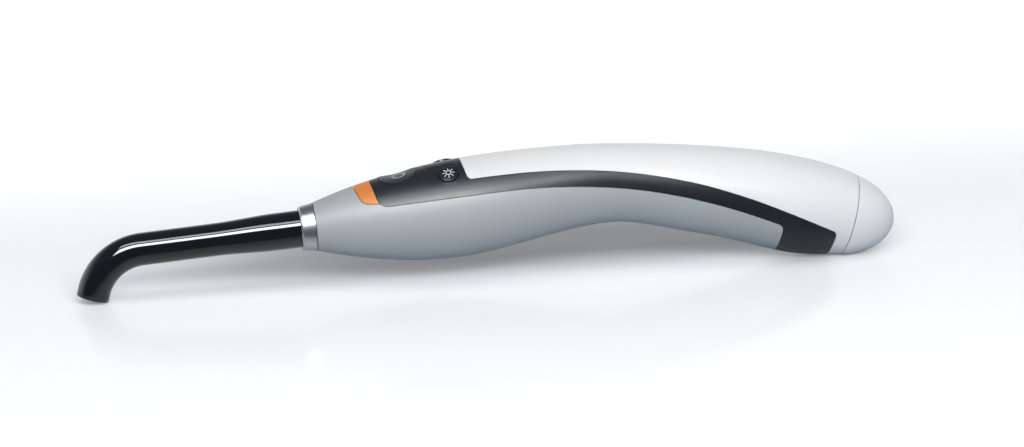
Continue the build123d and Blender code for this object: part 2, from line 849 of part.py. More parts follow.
def folded_sheet(depth, thickness):
    """A sheet folded along two lines, a depth under the flexible circuit's top."""
    plane = Plane(origin=flex_start - depth * upward(flex_angle), x_dir=(0, 1, 0),
                  z_dir=direction(flex_angle))
    half_width = fold_half_width - depth * tan(radians(side_button_angle / 2))
    with BuildSketch(plane) as outline:
        Rectangle(2 * half_width, thickness, align=(Align.CENTER, Align.MAX))
        for side in (-1, 1):
            corner = (Align.MIN if side > 0 else Align.MAX, Align.MAX)
            with Locations((side * half_width, 0)):
                Rectangle(flex_side_length, thickness, rotation=-side * side_button_angle,
                          align=corner)
    extrude(outline.sketch, amount=flex_length)


with BuildPart() as keypad_flex:
    folded_sheet(0.0, flex_thickness)
keypad_flex.part.label = "keypad_flex"
export_step(keypad_flex.part, "parts/keypad_flex.step")

flat_plane = Plane(origin=probe_point((pedestal_front + pedestal_front + pedestal_length) / 2,
                                      engine_flat), x_dir=direction(probe_pitch),
                   z_dir=upward(probe_pitch))

with BuildPart() as keypad_carrier:
    folded_sheet(flex_thickness, carrier_thickness)
    sheet_underside = flex_start - (flex_thickness + carrier_thickness / 2) * upward(flex_angle)
    pedestal_middle = sheet_underside + (pedestal_front + pedestal_length / 2
                                         - flex_front) * direction(flex_angle)
    block(Plane(origin=pedestal_middle, x_dir=direction(flex_angle), z_dir=-upward(flex_angle)),
          pedestal_length, pedestal_width, engine_flat)
    block(flat_plane, 2 * pedestal_length, 4 * pedestal_width, -2 * engine_flat,
          mode=Mode.SUBTRACT)
keypad_carrier.part.label = "keypad_carrier"
export_step(keypad_carrier.part, "parts/keypad_carrier.step")


def flex_distance(plane):
    """Depth of the circuit under a button's plane, along the button's own axis."""
    tilt = Vector(0, 0, 0)
    if abs(plane.z_dir.Y) > 0.1:
        tilt = Vector(0, plane.z_dir.Y, 0)
    normal = upward(flex_angle) * sqrt(1 - tilt.Y ** 2) + tilt
    point_on_sheet = flex_datum
    if tilt.Y:
        side = 1 if tilt.Y > 0 else -1
        point_on_sheet = flex_datum + Vector(0, side * fold_half_width, 0)
    return (plane.origin - point_on_sheet).dot(normal) / plane.z_dir.dot(normal)


def tact_switch(plane, button_bottom, travel):
    """A switch on the circuit, whose actuator ends just below the pressed button."""
    depth = flex_distance(plane)
    top = button_bottom + travel + actuator_play
    with BuildPart(mode=Mode.PRIVATE) as switch:
        normal = upward(flex_angle)
        if abs(plane.z_dir.Y) > 0.1:
            normal = normal * sqrt(1 - plane.z_dir.Y ** 2) + Vector(0, plane.z_dir.Y, 0)
        foot = Plane(origin=plane.origin - plane.z_dir * depth, x_dir=direction(flex_angle),
                     z_dir=normal)
        block(foot, switch_side, switch_side, switch_body)
        round_bar(Plane(origin=plane.origin - plane.z_dir * (depth - switch_body / 2),
                        x_dir=plane.x_dir, z_dir=plane.z_dir), actuator_radius,
                  depth - switch_body / 2 - top)
    return switch.part


with BuildPart() as tact_switches:
    add(tact_switch(start_plane, start_bottom, start_travel))
    for plane in side_planes.values():
        add(tact_switch(plane, side_bottom, side_button_travel))
tact_switches.part.label = "tact_switches"
export_step(tact_switches.part, "parts/tact_switches.step")

with BuildPart() as display_window:
    with BuildSketch(lowered(display_plane, 2 * wall)):
        RectangleRounded(display_length, display_width, display_corner)
    extrude(amount=3 * wall)
    add(outside, mode=Mode.INTERSECT, clean=False)
    add(body_loft(window_thickness, first=1), mode=Mode.SUBTRACT, clean=False)
display_window.part.label = "display_window"
export_step(display_window.part, "parts/display_window.step")

with BuildPart() as display_module:
    module_top = window_thickness + module_gap
    block(lowered(display_plane, module_top), display_length - 2 * module_margin,
          display_width - 2 * module_margin,
          -(flex_distance(display_plane) - module_top - switch_body))
    block(lowered(display_plane, flex_distance(display_plane) - switch_body / 4),
          display_length - 4 * module_margin, 2 * fold_half_width - 2 * module_margin,
          switch_body)
display_module.part.label = "display_module"
export_step(display_module.part, "parts/display_module.step")

# Battery bay, tray and boards

bay_radius = case_radius + bay_play
bay_front = -(case_length + bay_play)

tray_front = probe_point(sink_rear).X - nose.X + tray_gap
tray_rear = bay_point(bay_front).X - nose.X
board_front = tray_front + board_setback
board_rear = bay_point(bay_front - bay_front_wall - pin_reach).X - nose.X - board_rear_gap
board_length = board_rear - board_front

with BuildPart() as chassis:
    round_bar(bay_plane(bay_front - bay_front_wall), bay_radius + bay_wall,
              bay_front_wall - bay_front - cap_gap)
    round_bar(bay_plane(-parting_lead - bay_lip_length - cap_gap),
              seam_station[2] - wall - bay_lip_play, bay_lip_length)
    tray_plane = Plane(origin=nose + Vector((tray_front + tray_rear) / 2, 0, tray_height))
    block(tray_plane, tray_rear - tray_front, tray_width, tray_thickness)
    round_bar(bay_plane(bay_front), bay_radius, -bay_front + wall, mode=Mode.SUBTRACT)
    cut_at_parting(0, dome_length)
    key_plane = Plane(origin=bay_point(-(key_front + key_rear) / 2, bay_radius + bay_wall / 2),
                      x_dir=direction(-battery_pitch), z_dir=-upward(-battery_pitch))
    block(key_plane, key_front - key_rear, key_width, key_height + bay_wall / 2)
    for along in (board_screw_inset, board_length - board_screw_inset):
        post = nose + Vector(board_front + along, 0, tray_height + tray_thickness / 2)
        round_bar(Plane(origin=post), post_radius, board_rise + tray_thickness / 2)
        round_bar(Plane(origin=post), screw_radius + screw_bore_play,
                  board_rise + tray_thickness, mode=Mode.SUBTRACT)
    for number in (-1, 0, 1):
        hole = bay_plane(bay_front - bay_front_wall - pin_reach - pin_clearance)
        hole.origin = hole.origin + Vector(0, number * terminal_pitch, 0)
        round_bar(hole, pin_radius + pin_play, pin_clearance + pin_reach + 2 * bay_front_wall,
                  mode=Mode.SUBTRACT)
chassis.part.label = "chassis"
export_step(chassis.part, "parts/chassis.step")

with BuildPart() as bay_contacts:
    for number in (-1, 0, 1):
        foot = bay_plane(bay_front - bay_front_wall - pin_reach)
        foot.origin = foot.origin + Vector(0, number * terminal_pitch, 0)
        round_bar(foot, pin_radius, pin_reach + bay_front_wall + bay_play)
bay_contacts.part.label = "bay_contacts"
export_step(bay_contacts.part, "parts/bay_contacts.step")

board_level = tray_height + tray_thickness + board_rise
board_top = board_level + board_thickness


def board_plane(along, across=0.0):
    """Plane on the main board's top, at a distance behind the board's front edge."""
    return Plane(origin=nose + Vector(board_front + along, across, board_top))


with BuildPart() as main_board:
    middle = Plane(origin=nose + Vector(board_front + board_length / 2, 0, board_level))
    block(middle, board_length, board_width, board_thickness)
    for along in (board_screw_inset, board_length - board_screw_inset):
        round_bar(board_plane(along), screw_radius + screw_bore_play, -board_thickness,
                  mode=Mode.SUBTRACT)
main_board.part.label = "main_board"
export_step(main_board.part, "parts/main_board.step")

with BuildPart() as board_screws:
    for along in (board_screw_inset, board_length - board_screw_inset):
        round_bar(board_plane(along), screw_radius, -(board_thickness + board_rise))
        round_bar(board_plane(along), board_screw_head, screw_head_height)
board_screws.part.label = "board_screws"
export_step(board_screws.part, "parts/board_screws.step")

with BuildPart() as power_choke:
    block(board_plane(choke_place), 2 * choke_radius, 2 * choke_radius, screw_head_height)
    round_bar(board_plane(choke_place), choke_radius, choke_height)
power_choke.part.label = "power_choke"
export_step(power_choke.part, "parts/power_choke.step")

with BuildPart() as capacitors:
    for side in (-1, 1):
        round_bar(board_plane(capacitor_place, side * capacitor_pitch / 2), capacitor_radius,
                  capacitor_height)
capacitors.part.label = "capacitors"
export_step(capacitors.part, "parts/capacitors.step")

with BuildPart() as controller_chip:
    block(board_plane(chip_place, chip_across), chip_side, chip_side, chip_thickness)
controller_chip.part.label = "controller_chip"
export_step(controller_chip.part, "parts/controller_chip.step")

with BuildPart() as sounder:
    sounder_plane = board_plane(sounder_place, sounder_across)
    round_bar(sounder_plane, sounder_radius, sounder_height)
    round_bar(sounder_plane.offset(sounder_height), screw_radius, -sounder_height / 3,
              mode=Mode.SUBTRACT)
sounder.part.label = "sounder"
export_step(sounder.part, "parts/sounder.step")

# Battery

with BuildPart() as battery_case:
    round_bar(bay_plane(-case_length), case_radius, case_length + case_in_cap)
    round_bar(bay_plane(-case_length + case_front_plate), case_radius - case_wall,
              case_length + case_in_cap - case_front_plate - case_rear_plate, mode=Mode.SUBTRACT)
    groove_length = case_length - key_rear + key_play
    groove = Plane(origin=bay_point(-case_length + groove_length / 2, case_radius + key_play),
                   x_dir=direction(-battery_pitch), z_dir=-upward(-battery_pitch))
    block(groove, groove_length, key_width + 2 * key_play, key_height + key_play,
          mode=Mode.SUBTRACT)
    for number in (-1, 0, 1):
        seat = bay_plane(-case_length)
        seat.origin = seat.origin + Vector(0, number * terminal_pitch, 0)
        round_bar(seat, terminal_radius + cap_bore_play, terminal_thickness, mode=Mode.SUBTRACT)
battery_case.part.label = "battery_case"
export_step(battery_case.part, "parts/battery_case.step")

with BuildPart() as battery_terminals:
    for number in (-1, 0, 1):
        seat = bay_plane(-case_length)
        seat.origin = seat.origin + Vector(0, number * terminal_pitch, 0)
        round_bar(seat, terminal_radius, terminal_thickness)
battery_terminals.part.label = "battery_terminals"
export_step(battery_terminals.part, "parts/battery_terminals.step")

battery_board_front = -case_length + case_front_plate

with BuildPart() as battery_board:
    round_bar(bay_plane(battery_board_front), case_radius - case_wall - cell_play,
              battery_board_thickness)
battery_board.part.label = "battery_board"
export_step(battery_board.part, "parts/battery_board.step")

with BuildPart() as battery_cell:
    round_bar(bay_plane(battery_board_front + battery_board_thickness),
              case_radius - case_wall - cell_play, cell_length)
battery_cell.part.label = "battery_cell"
export_step(battery_cell.part, "parts/battery_cell.step")

pad_radius = dome_half_width * sqrt(1 - ((charge_pad_along + dome_lead) / dome_half_length) ** 2)


def pad_plane(side):
    """Plane of a charging contact on the underside of the cap, facing outward."""
    roll = asin(charge_pad_spread / pad_radius)
    down = Vector(0, side * sin(roll), 0) - upward(-battery_pitch) * cos(roll)
    outward = (direction(-battery_pitch) * cos(radians(charge_pad_angle))
               + down * sin(radians(charge_pad_angle)))
    return Plane(origin=bay_point(charge_pad_along) + down * pad_radius, x_dir=(0, 1, 0),
                 z_dir=outward)


with BuildPart() as battery_end_cap:
    with BuildSketch(Plane(origin=bay_point(-dome_lead), x_dir=direction(-battery_pitch),
                           z_dir=(0, -1, 0))):
        Ellipse(dome_half_length, dome_half_width)
        Rectangle(2 * dome_half_length, 2 * dome_half_width, align=(Align.MIN, Align.MIN),
                  mode=Mode.INTERSECT)
    revolve(axis=bay_axis)
    cut_at_parting(cap_gap, -dome_length)
    cut_below(cap_lift)
    round_bar(bay_plane(-case_in_cap), case_radius + cap_bore_play, 2 * case_in_cap,
              mode=Mode.SUBTRACT)
    round_bar(bay_plane(case_in_cap - case_rear_plate), cap_hollow_radius,
              cap_hollow_depth + case_rear_plate, mode=Mode.SUBTRACT)
    for side in (-1, 1):
        round_bar(pad_plane(side).offset(-charge_pad_depth), charge_pad_radius + cap_bore_play,
                  3 * charge_pad_depth, mode=Mode.SUBTRACT)
battery_end_cap.part.label = "battery_end_cap"
export_step(battery_end_cap.part, "parts/battery_end_cap.step")

with BuildPart() as charging_contacts:
    for side in (-1, 1):
        round_bar(pad_plane(side).offset(-charge_pad_depth), charge_pad_radius,
                  charge_pad_depth - core_play)
charging_contacts.part.label = "charging_contacts"
export_step(charging_contacts.part, "parts/charging_contacts.step")

print("nose", nose, "seam centre", seam_centre)
print("probe axis towards the tip", -direction(probe_pitch))
print("battery axis to the rear", direction(-battery_pitch))
print("start button", start_plane.origin, start_plane.z_dir)
for label, plane in side_planes.items():
    print(label, "button", plane.origin, plane.z_dir)
print("light exit", probe_point(*tip_centre), -direction(tip_pitch))
print("rear reach", nose.X + rear_reach, "tip front", nose.X + tip_rim_front)
print("main board's length", board_length)
print("flex depth under start", flex_distance(start_plane),
      "side", flex_distance(side_planes["time"]), "display", flex_distance(display_plane))
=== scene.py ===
# %% [markdown]
# # A cordless dental curing light
# A curing light is a slim handpiece that a dentist holds like a pen. Blue light leaves through a
# bent black light guide at one end, and a battery slides into the other end. The imported model
# already has every part at its real size and place, so this lesson gives the parts their finish,
# makes the light guide's mesh smoother, adds the printed symbols, and sets up a small photo studio
# around them. We start with the imported model.

# %% Load the imported model
import json
from math import cos, radians, sin, tau

import bmesh
import bpy
from mathutils import Matrix, Vector
from mathutils.bvhtree import BVHTree


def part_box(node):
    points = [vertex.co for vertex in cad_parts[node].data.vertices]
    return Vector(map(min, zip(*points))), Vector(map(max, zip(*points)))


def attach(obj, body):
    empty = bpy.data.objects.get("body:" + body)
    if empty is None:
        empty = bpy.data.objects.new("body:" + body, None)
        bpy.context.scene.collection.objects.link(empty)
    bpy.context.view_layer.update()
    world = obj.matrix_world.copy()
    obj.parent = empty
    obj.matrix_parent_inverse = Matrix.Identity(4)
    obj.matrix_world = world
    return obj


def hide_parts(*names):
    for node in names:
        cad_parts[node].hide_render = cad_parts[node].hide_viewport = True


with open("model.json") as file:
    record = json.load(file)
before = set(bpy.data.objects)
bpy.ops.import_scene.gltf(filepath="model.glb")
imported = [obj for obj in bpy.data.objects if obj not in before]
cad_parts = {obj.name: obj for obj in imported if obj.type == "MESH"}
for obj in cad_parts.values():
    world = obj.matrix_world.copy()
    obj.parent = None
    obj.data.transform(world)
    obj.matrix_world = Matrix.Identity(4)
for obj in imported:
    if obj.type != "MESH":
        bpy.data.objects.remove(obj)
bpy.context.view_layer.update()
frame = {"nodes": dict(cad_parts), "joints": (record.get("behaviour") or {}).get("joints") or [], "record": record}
mm = 0.001
nodes = frame["nodes"]
joints = {joint["name"]: joint for joint in frame["joints"]}
for plain_colour in list(bpy.data.materials):
    bpy.data.materials.remove(plain_colour)

# %% [markdown]
# ## Directions that the finishes need
# The light guide's collar was turned on a lathe, so its fine lines run round the guide's axis. The
# buttons' symbols lie square to the way each button is pressed. Both directions are known from the
# model's joints, so we read them there.


# %% Read the axes from the joints
def joint_axis(name):
    """The direction in which a joint slides, or about which it turns."""
    return Vector(joints[name]["axis"]).normalized()


probe_tipward = joint_axis("probe_spin")
probe_centre = Vector(joints["probe_spin"]["pos_m"])
print("probe axis:", tuple(round(part, 3) for part in probe_tipward))

# %% [markdown]
# ## Arithmetic with shader sockets
# A procedural material is a sum of small nodes. Wiring them by hand hides the idea, so we wrap a
# socket in a class that knows Python's signs. Then `1 - mask` adds the Math node for us, and a
# finish reads like the formula that it is.


# %% A socket that can be used in a formula
class Value:
    """A shader socket that Python's signs work on."""

    def __init__(self, finish, socket):
        self.finish, self.socket = finish, socket

    def math(self, operation, first, second):
        return self.finish.node("ShaderNodeMath", {"operation": operation}, {0: first, 1: second})

    def __add__(self, other):
        return self.math("ADD", self, other)

    def __sub__(self, other):
        return self.math("SUBTRACT", self, other)

    def __rsub__(self, other):
        return self.math("SUBTRACT", other, self)

    def __mul__(self, other):
        return self.math("MULTIPLY", self, other)

    def step(self, low, high):
        """0 below low, 1 above high, and a smooth rise between them."""
        return self.finish.node("ShaderNodeMapRange", {"interpolation_type": "SMOOTHSTEP"},
                                {0: self, 1: low, 2: high, 3: 0.0, 4: 1.0})


# %% [markdown]
# ## A finish is a material with helpers
# Every part needs the same few things: a colour, a roughness, some noise and a bump. The class
# below makes the material and its Principled shader, and each helper returns a value that the
# formulas can use. Patterns read Object coordinates. All parts sit at the origin, so those are
# plain metres, and a pattern of 0.3 mm really is 0.3 mm.


# %% A finish
class Finish:
    """A material built from formulas."""

    def __init__(self, name, colour, roughness, metallic=0.0, **settings):
        self.material = bpy.data.materials.new(name)
        self.material.use_nodes = True
        self.tree = self.material.node_tree
        self.shader = self.tree.nodes["Principled BSDF"]
        self.place = self.node("ShaderNodeTexCoord", output="Object")
        self.set("Base Color", (*colour, 1.0))
        self.set("Roughness", roughness)
        self.set("Metallic", metallic)
        for socket, value in settings.items():
            self.set(socket.replace("_", " ").title().replace("Ior", "IOR"), value)

    def node(self, kind, settings=None, values=None, output=0):
        """Add a node: its settings come first, then the values or links of its sockets."""
        node = self.tree.nodes.new(kind)
        for name, value in (settings or {}).items():
            setattr(node, name, value)
        for name, value in (values or {}).items():
            self.feed(node.inputs[name], value)
        return Value(self, node.outputs[output])

    def feed(self, socket, value):
        if isinstance(value, Value):
            self.tree.links.new(value.socket, socket)
        else:
            socket.default_value = value

    def set(self, socket, value):
        self.feed(self.shader.inputs[socket], value)

    def noise(self, size, detail=2.0):
        """Cloudy noise from 0 to 1, whose lumps are about a size across."""
        return self.node("ShaderNodeTexNoise", None,
                         {"Vector": self.place, "Scale": 1 / size, "Detail": detail},
                         output="Fac")

    def blend(self, share, first, second):
        """A colour between two colours."""
        values = {0: share, 6: (*first, 1.0) if isinstance(first, tuple) else first,
                  7: (*second, 1.0) if isinstance(second, tuple) else second}
        return self.node("ShaderNodeMix", {"data_type": "RGBA"}, values, output=2)

    def along(self, direction, origin=Vector()):
        """Distance in metres along a direction from a point."""
        moved = self.node("ShaderNodeVectorMath", {"operation": "SUBTRACT"},
                          {0: self.place, 1: tuple(origin)})
        return self.node("ShaderNodeVectorMath", {"operation": "DOT_PRODUCT"},
                         {0: moved, 1: tuple(direction)}, output="Value")

    def relief(self, height, depth):
        """Raise the surface by a depth where the height is 1."""
        self.set("Normal", self.node("ShaderNodeBump", None, {"Height": height, "Distance": depth}))

    def ray(self, kind):
        """1 for rays of a kind, such as Camera or Glossy, and 0 for all others."""
        return self.node("ShaderNodeLightPath", output="Is " + kind + " Ray")


# %% [markdown]
# ## Moulded plastics
# The shells are injection-moulded. Real moulded plastic is never one flat number: the mould's
# polish leaves a very fine grain, the gloss drifts a little from place to place, and the colour
# carries faint clouds. One function makes all of them from a colour, a gloss and a grain.


# %% Moulded plastic
def moulded(name, colour, gloss, grain_size, grain_depth, gloss_drift=0.05, clouds=0.02, **more):
    """Moulded plastic with its grain, its drifting gloss and its faint clouds of colour."""
    finish = Finish(name, colour, gloss, **more)
    cloud_size, drift_size = 18 * mm, 7 * mm
    darker = tuple(part * (1 - clouds) for part in colour)
    lighter = tuple(min(1.0, part * (1 + clouds)) for part in colour)
    finish.set("Base Color", finish.blend(finish.noise(cloud_size), darker, lighter))
    drift = finish.noise(drift_size, 3.0) - 0.5
    finish.set("Roughness", drift * (2 * gloss_drift) + gloss)
    finish.relief(finish.noise(grain_size, 1.0), grain_depth)
    return finish


white_gloss = moulded("white_gloss", (0.875, 0.872, 0.868), 0.30, 0.35 * mm, 0.002 * mm,
                      coat_weight=0.35, coat_roughness=0.12)
grey_satin = moulded("grey_satin", (0.445, 0.462, 0.472), 0.42, 0.12 * mm, 0.0022 * mm)
orange_satin = moulded("orange_satin", (0.80, 0.255, 0.048), 0.38, 0.12 * mm, 0.002 * mm)
charcoal_satin = moulded("charcoal_satin", (0.012, 0.0145, 0.019), 0.34, 0.16 * mm, 0.004 * mm,
                         specular_ior_level=0.7)
button_dark = moulded("button_dark", (0.014, 0.016, 0.021), 0.26, 0.2 * mm, 0.002 * mm)
inner_plastic = moulded("inner_plastic", (0.035, 0.036, 0.038), 0.5, 0.25 * mm, 0.006 * mm)
battery_plastic = moulded("battery_plastic", (0.03, 0.03, 0.032), 0.42, 0.2 * mm, 0.004 * mm)
component_black = moulded("component_black", (0.02, 0.02, 0.021), 0.45, 0.15 * mm, 0.004 * mm)
seal_rubber = moulded("seal_rubber", (0.016, 0.016, 0.017), 0.7, 0.2 * mm, 0.006 * mm)
print("moulded finishes made")

# %% [markdown]
# ## The black light guide
# The guide's sheath is polished black glass or plastic. It is almost a mirror, so what we see in
# it is the studio: a crisp stripe from each reflected lamp and a soft blue-grey glow from the
# table. A clear coat over a near-black base gives that depth, and faint wiping marks break the
# mirror. The display's window is a smooth dark plastic that reflects less than the guide.


# %% Polished black and the dark window
def polished(name, colour, wipe_size):
    """Polished black under a clear coat, with faint wiping marks."""
    finish = Finish(name, colour, 0.06, coat_weight=0.8, coat_roughness=0.03)
    least_roughness, wiped_roughness = 0.04, 0.05
    wiped = finish.noise(wipe_size, 4.0)
    finish.set("Roughness", wiped * wiped_roughness + least_roughness)
    return finish


black_gloss = polished("black_gloss", (0.0035, 0.0045, 0.006), 9 * mm)
window_dark = moulded("window_dark", (0.006, 0.007, 0.009), 0.24, 2 * mm, 0.0005 * mm,
                      specular_ior_level=0.3)

# %% [markdown]
# ## Turned and drawn metal
# The collar is turned steel. A lathe tool leaves rings that are much too fine to see one by one,
# yet together they soften the shine. A noise that only varies along the guide's axis makes such
# rings, and the same trick with no direction gives sheet metal.


# %% Metals
def turned(name, colour, gloss, ring_size=0.09 * mm, ring_depth=0.0012 * mm, spread=0.10):
    """Metal turned on a lathe about the light guide's axis."""
    finish = Finish(name, colour, gloss, metallic=1.0)
    travel = finish.along(probe_tipward, probe_centre)
    rings = finish.node("ShaderNodeTexNoise", {"noise_dimensions": "1D"},
                        {"W": travel, "Scale": 1 / ring_size, "Detail": 2.0}, output="Fac")
    finish.set("Roughness", rings * spread + (gloss - spread / 2))
    finish.relief(rings, ring_depth)
    return finish


def drawn(name, colour, gloss, spot_size=0.6 * mm, spread=0.12):
    """Plain sheet or drawn metal with an uneven shine."""
    finish = Finish(name, colour, gloss, metallic=1.0)
    spots = finish.noise(spot_size, 3.0)
    finish.set("Roughness", spots * spread + (gloss - spread / 2))
    return finish


satin_steel = turned("satin_steel", (0.66, 0.68, 0.70), 0.30)
socket_metal = turned("socket_metal", (0.66, 0.66, 0.67), 0.3)
spring_steel = drawn("spring_steel", (0.62, 0.62, 0.63), 0.28)
mirror_metal = drawn("mirror_metal", (0.88, 0.88, 0.89), 0.08)
cell_metal = drawn("cell_metal", (0.55, 0.56, 0.58), 0.3)
sink_metal = drawn("sink_metal", (0.62, 0.62, 0.63), 0.42, 0.2 * mm)
contact_gold = drawn("contact_gold", (0.86, 0.62, 0.26), 0.22)
capacitor_can = drawn("capacitor_can", (0.66, 0.66, 0.68), 0.3)


# %% [markdown]
# ## Glass, circuit boards and small parts
# The rod inside the sheath is a bundle of fused glass fibres. Seen on its end, it shows a fine
# honeycomb, which a Voronoi pattern gives. The boards inside are hidden by the casing, and still
# get their solder mask, film and resin.


# %% Glass rod, boards and resin
def fibre_glass(name, fibre_size=0.22 * mm):
    """Fused glass fibres: clear, with a faint honeycomb of darker walls."""
    finish = Finish(name, (0.9, 0.94, 0.96), 0.06, transmission_weight=0.55, ior=1.52)
    cells = finish.node("ShaderNodeTexVoronoi", {"feature": "DISTANCE_TO_EDGE"},
                        {"Vector": finish.place, "Scale": 1 / fibre_size}, output="Distance")
    wall_ends, fibre_begins = 0.02, 0.12
    wall_colour, fibre_colour = (0.30, 0.36, 0.42), (0.82, 0.88, 0.92)
    inside_fibre = cells.step(wall_ends, fibre_begins)
    finish.set("Base Color", finish.blend(inside_fibre, wall_colour, fibre_colour))
    return finish


def coated(name, colour, gloss, speck_size=0.4 * mm, speck_shade=0.7):
    """A coloured film or resin over a board."""
    finish = Finish(name, colour, gloss, coat_weight=0.4, coat_roughness=0.15)
    specks = finish.noise(speck_size, 3.0)
    darker = tuple(part * speck_shade for part in colour)
    finish.set("Base Color", finish.blend(specks, darker, colour))
    return finish


optical_glass = fibre_glass("optical_glass")
board_green = coated("board_green", (0.02, 0.15, 0.07), 0.35)
flex_amber = coated("flex_amber", (0.45, 0.2, 0.03), 0.3)
led_yellow = coated("led_yellow", (0.8, 0.62, 0.16), 0.35)
print("materials:", len(bpy.data.materials))

# %% [markdown]
# ## Hand the finishes to the parts
# The record says which finish slot each node uses. A finish above is named after its slot, so one
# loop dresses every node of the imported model.

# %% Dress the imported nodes
finishes = {finish.material.name: finish.material for finish in (
    white_gloss, grey_satin, orange_satin, charcoal_satin, button_dark, inner_plastic,
    battery_plastic, component_black, seal_rubber, black_gloss, window_dark, satin_steel,
    socket_metal, spring_steel, mirror_metal, cell_metal, sink_metal, contact_gold,
    capacitor_can, optical_glass, board_green, flex_amber, led_yellow)}
slot_of = {part["node"]: part["material_slot"] for part in frame["record"]["subparts"]}
for name, node in nodes.items():
    node.data.materials.clear()
    node.data.materials.append(finishes[slot_of[name]])
print("dressed:", len(nodes))

# %% [markdown]
# ## From a drawing to an object
# A bmesh is only a drawing in memory. Three kinds of piece below are drawn this way: the guide's
# tube, the symbols and the table. Each becomes an object by the same few steps, so they share one
# function. The object stays at the origin, and its points hold their real places.


# %% A drawing becomes an object
def made_object(name, drawing, finish):
    """Turn a drawing into an object of the scene, with its finish."""
    data = bpy.data.meshes.new(name)
    drawing.to_mesh(data)
    drawing.free()
    data.materials.append(finish.material)
    made = bpy.data.objects.new(name, data)
    bpy.context.scene.collection.objects.link(made)
    return made


def parts_of(grown, kind):
    """The points or the edges among what an operator has made."""
    return [part for part in grown if isinstance(part, kind)]


# %% [markdown]
# ## The light guide's sheath
# The sheath is a polished tube, so every facet of its mesh would show as a kink in the stripe of
# light along it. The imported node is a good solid, but its triangles are long and thin. We make
# the tube again from one circle: extrude it along the straight run while its radius narrows, spin
# it round the bend, and extrude the short tip. A Solidify modifier then gives the skin its wall,
# and a Bevel modifier rounds the two rims. The tube takes the node's place.

# %% The sizes of the light guide
points_round, bend_steps = 96, 40
seat_end, taper_start, taper_end, bend_start = 1.5 * mm, 11.5 * mm, 30.5 * mm, 52.4 * mm
base_radius, tip_radius, bore_radius = 5.64 * mm, 4.95 * mm, 4.13 * mm
bend_radius, bend_angle, tip_run = 16.65 * mm, radians(70.9), 1.93 * mm
rim_round, rim_segments, sharp_angle = 0.16 * mm, 3, radians(60)
ring_step = 1.0 * mm
rings_before_taper = 8


def guide_radius(along):
    """The sheath's radius at a distance along the guide's axis, narrowing smoothly."""
    share = min(1.0, max(0.0, (along - taper_start) / (taper_end - taper_start)))
    return base_radius + (tip_radius - base_radius) * share * share * (3 - 2 * share)


rings_to_bend = int((bend_start - taper_start) / ring_step)
stations = [taper_start + ring * ring_step for ring in range(-rings_before_taper, rings_to_bend)]
print("rings along the straight run:", len(stations))

# %% A smooth tube along the straight run
sheath = bmesh.new()
bmesh.ops.create_circle(sheath, segments=points_round, radius=base_radius)
bmesh.ops.translate(sheath, verts=sheath.verts, vec=(0, 0, seat_end))
ring_edges = list(sheath.edges)
for before, after in zip([seat_end] + stations, stations + [bend_start]):
    grown = bmesh.ops.extrude_edge_only(sheath, edges=ring_edges)["geom"]
    ring_verts = parts_of(grown, bmesh.types.BMVert)
    ring_edges = parts_of(grown, bmesh.types.BMEdge)
    narrowing = guide_radius(after) / guide_radius(before)
    bmesh.ops.scale(sheath, verts=ring_verts, vec=(narrowing, narrowing, 1))
    bmesh.ops.translate(sheath, verts=ring_verts, vec=(0, 0, after - before))
print("straight run's faces:", len(sheath.faces))

# %% The bend and the short tip
last_ring = bmesh.ops.spin(sheath, geom=ring_verts + ring_edges,
                           cent=(-bend_radius, 0, bend_start), axis=(0, -1, 0),
                           angle=bend_angle, steps=bend_steps)["geom_last"]
ring_edges = parts_of(last_ring, bmesh.types.BMEdge)
grown = bmesh.ops.extrude_edge_only(sheath, edges=ring_edges)["geom"]
tip_verts = parts_of(grown, bmesh.types.BMVert)
tip_step = Vector((-sin(bend_angle), 0, cos(bend_angle))) * tip_run
bmesh.ops.translate(sheath, verts=tip_verts, vec=tip_step)
bmesh.ops.recalc_face_normals(sheath, faces=sheath.faces)
print("sheath faces:", len(sheath.faces))

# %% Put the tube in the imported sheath's place
guide_up = probe_tipward.cross(Vector((0, 1, 0))).normalized()
guide_up *= 1 if guide_up.z > 0 else -1
guide_turn = Matrix((guide_up, probe_tipward.cross(guide_up), probe_tipward)).transposed()
sheath.transform(Matrix.Translation(probe_centre) @ guide_turn.to_4x4())
for face in sheath.faces:
    face.smooth = True
polished_sheath = made_object("polished_sheath", sheath, black_gloss)
guide_wall = polished_sheath.modifiers.new("wall", "SOLIDIFY")
guide_wall.thickness, guide_wall.offset = tip_radius - bore_radius, -1.0
rims = polished_sheath.modifiers.new("rims", "BEVEL")
rims.width, rims.segments = rim_round, rim_segments
rims.limit_method, rims.angle_limit = "ANGLE", sharp_angle
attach(polished_sheath, "probe")
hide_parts("light_guide_sheath")
sheath_points = [vertex.co for vertex in polished_sheath.data.vertices]
smooth_box = [[pick(point[axis] for point in sheath_points) for axis in range(3)]
              for pick in (min, max)]
for label, box in (("packed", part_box("light_guide_sheath")), ("smooth", smooth_box)):
    print(label, "sheath in mm:", [[round(part / mm, 2) for part in corner] for corner in box])

# %% [markdown]
# ## The camera
# The photograph was taken with a long lens, a little from the left and from above, and the frame
# is turned slightly. A long lens far away keeps the light's outline nearly parallel, so we keep
# its real focal length in pixels and turn that into millimetres for Blender's 36 mm sensor.

# %% The camera
photo_width_px, focal_px = 1024, 6150.0
view_yaw, view_drop, view_roll = radians(7.7), radians(14.2), radians(1.885)
view_distance = 1858 * mm
aim = Vector((7.58, 0.0, 15.67)) * mm

forward = Vector((sin(view_yaw) * cos(view_drop), cos(view_yaw) * cos(view_drop),
                  -sin(view_drop)))
level = forward.cross(Vector((0, 0, 1))).normalized()
upright = level.cross(forward)
right = level * cos(view_roll) - upright * sin(view_roll)
above = level * sin(view_roll) + upright * cos(view_roll)

